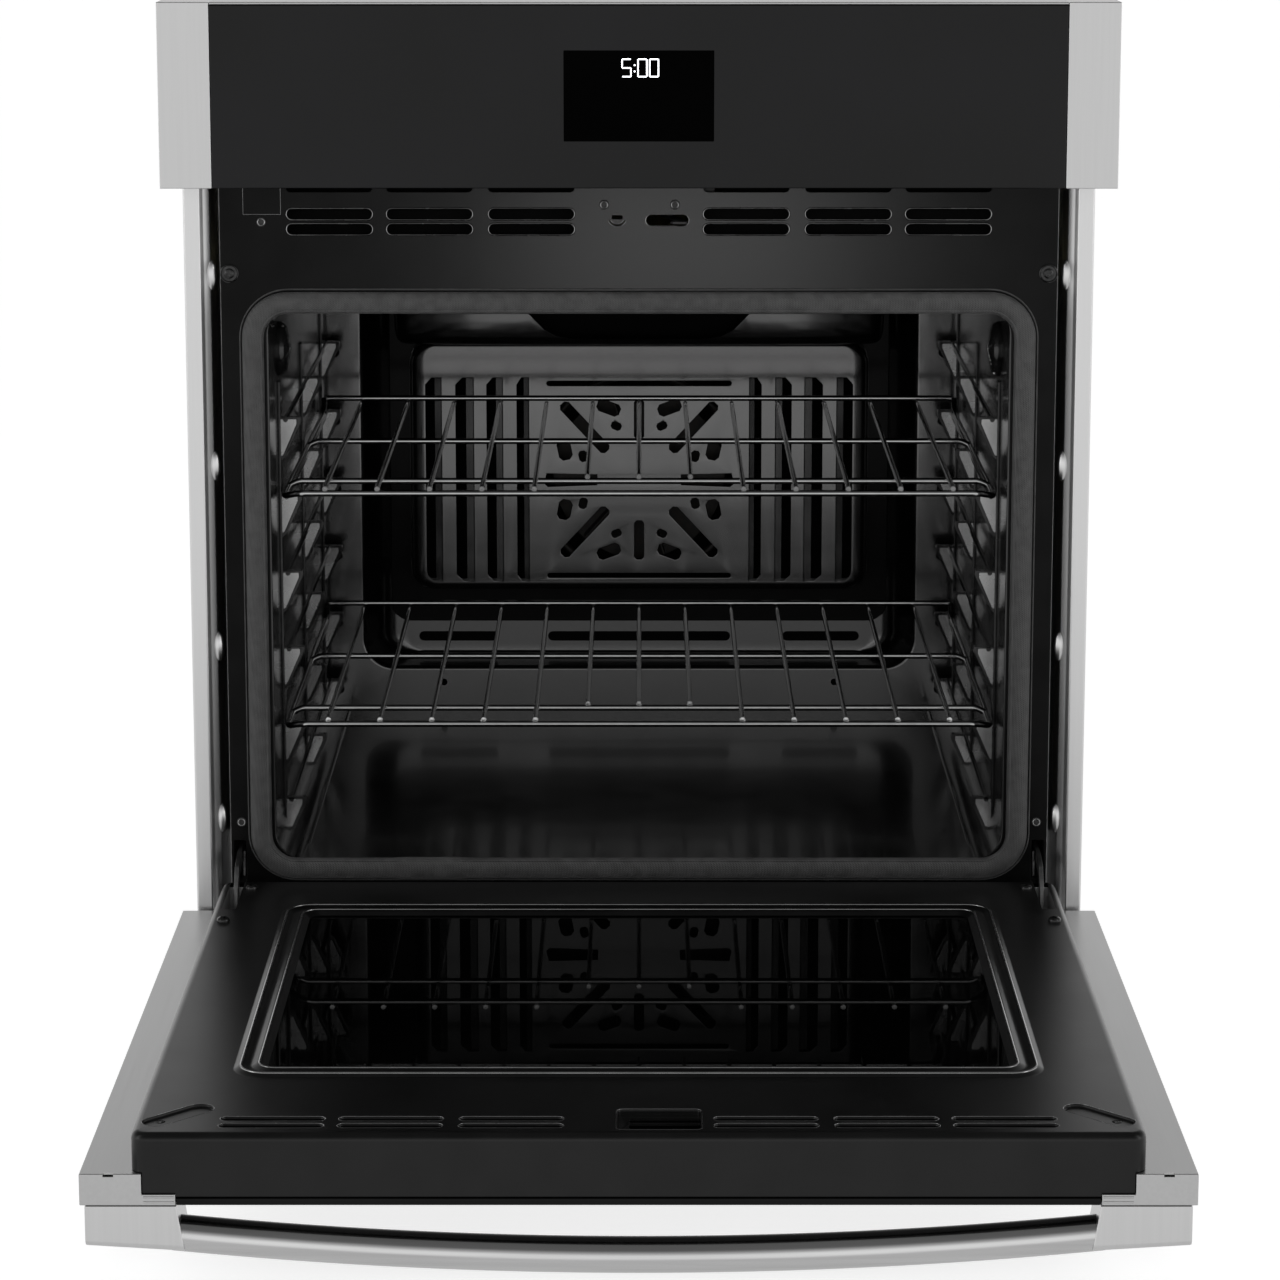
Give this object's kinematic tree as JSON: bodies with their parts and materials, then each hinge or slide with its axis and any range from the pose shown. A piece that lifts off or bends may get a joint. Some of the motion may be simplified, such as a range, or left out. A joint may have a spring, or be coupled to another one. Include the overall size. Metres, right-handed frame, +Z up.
{
  "type": "built-in wall oven",
  "caption": "Built-in single electric wall oven with a drop-down door, bowed handle, glass control panel, sliding wire racks and a fan-assisted cavity.",
  "frame": {"origin": "centre of the underside of the base pan", "axes": "+X across the oven to the right seen from the front, +Y from the door into the oven, +Z up"},
  "size_m": [0.6794, 1.1611, 0.75],
  "materials": {
    "stainless": "brushed",
    "black_enamel": "semi-gloss enamel",
    "cavity_enamel": "gloss enamel",
    "black_glass": "polished, back-painted",
    "clear_glass": "polished",
    "galvanised": "galvanised sheet",
    "rack_steel": "gloss enamel over steel wire",
    "element": "oxidised sheath",
    "gasket": "woven seal",
    "wool": "mineral wool",
    "plastic": "moulded",
    "board": "circuit board",
    "lamp": "pressed lens",
    "motor": "zinc plated",
    "bright_steel": "bright plated"
  },
  "bodies": {
    "chassis": {"bake_element": "element", "base_pan": "galvanised", "blower_housing": "galvanised", "blower_motor": "motor", "bottom_trim": "stainless", "broil_element": "element", "cavity_back": "cavity_enamel", "cavity_insulation": "wool", "cavity_liner": "cavity_enamel", "ceiling_duct": "cavity_enamel", "component_tray": "galvanised", "control_board": "board", "control_frame": "stainless", "control_glass": "black_glass", "convection_element": "element", "convection_motor": "motor", "display_module": "plastic", "door_gasket": "gasket", "end_cap_left": "stainless", "end_cap_right": "stainless", "fan_cover": "cavity_enamel", "front_frame": "black_enamel", "hinge_arm_left": "galvanised", "hinge_arm_right": "galvanised", "hinge_receiver_left": "galvanised", "hinge_receiver_right": "galvanised", "junction_box": "galvanised", "lamp_left": "lamp", "lamp_right": "lamp", "latch_motor": "motor", "rack_guide_left": "rack_steel", "rack_guide_right": "rack_steel", "rear_panel": "galvanised", "side_panel_left": "galvanised", "side_panel_right": "galvanised", "side_trim_left": "stainless", "side_trim_right": "stainless", "temperature_probe": "bright_steel", "top_panel": "galvanised"},
    "lower_rack": {"lower_rack": "rack_steel"},
    "upper_rack": {"upper_rack": "rack_steel"},
    "latch_hook": {"latch_hook": "bright_steel"},
    "hinge_lock_left": {"hinge_lock_left": "bright_steel"},
    "hinge_lock_right": {"hinge_lock_right": "bright_steel"},
    "convection_fan": {"convection_fan": "bright_steel"},
    "blower_wheel": {"blower_wheel": "galvanised"},
    "hinge_spring_left": {"hinge_spring_left": "galvanised"},
    "hinge_spring_right": {"hinge_spring_right": "galvanised"},
    "door": {"door_skin": "stainless", "door_outer_glass": "black_glass", "door_liner": "black_enamel", "door_inner_glass": "clear_glass", "door_middle_glass": "clear_glass", "glass_holder": "galvanised", "door_insulation": "wool", "handle_bar": "stainless", "handle_bracket_left": "stainless", "handle_bracket_right": "stainless", "hinge_channel_left": "galvanised", "hinge_channel_right": "galvanised"}
  },
  "joints": [
    {"name": "door_hinge", "type": "hinge", "parent": "chassis", "child": "door", "pos_m": [0, -0.32675, 0.074], "axis": [-1, 0, 0], "range_deg": [0, 90], "stiffness_Nm_per_rad": 16, "springref_deg": 90},
    {"name": "lower_rack_slide", "type": "slide", "parent": "chassis", "child": "lower_rack", "axis": [0, 1, 0], "range_m": [-0.3, 0]},
    {"name": "upper_rack_slide", "type": "slide", "parent": "chassis", "child": "upper_rack", "axis": [0, 1, 0], "range_m": [-0.3, 0]},
    {"name": "latch_turn", "type": "hinge", "parent": "chassis", "child": "latch_hook", "pos_m": [0.0205, -0.262, 0.5905], "axis": [0, 0, -1], "range_deg": [0, 28]},
    {"name": "hinge_lock_left_turn", "type": "hinge", "parent": "chassis", "child": "hinge_lock_left", "pos_m": [-0.2935, -0.2885, 0.116], "axis": [1, 0, 0], "range_deg": [-90, 0]},
    {"name": "hinge_lock_right_turn", "type": "hinge", "parent": "chassis", "child": "hinge_lock_right", "pos_m": [0.2935, -0.2885, 0.116], "axis": [1, 0, 0], "range_deg": [-90, 0]},
    {"name": "convection_fan_spin", "type": "hinge", "parent": "chassis", "child": "convection_fan", "pos_m": [0, 0.23, 0.311], "axis": [0, 1, 0], "continuous": true},
    {"name": "blower_spin", "type": "hinge", "parent": "chassis", "child": "blower_wheel", "pos_m": [0, 0.13, 0.655], "axis": [0, 0, 1], "continuous": true},
    {"name": "hinge_spring_left_slide", "type": "slide", "parent": "door", "child": "hinge_spring_left", "axis": [0, -1, 0], "range_m": [0, 0.0201]},
    {"name": "hinge_spring_right_slide", "type": "slide", "parent": "door", "child": "hinge_spring_right", "axis": [0, -1, 0], "range_m": [0, 0.0201]}
  ],
  "couplings": [
    {"joint": "hinge_spring_left_slide", "follows": "door_hinge", "m_per_rad": 0.0127},
    {"joint": "hinge_spring_right_slide", "follows": "door_hinge", "m_per_rad": 0.0127}
  ]
}
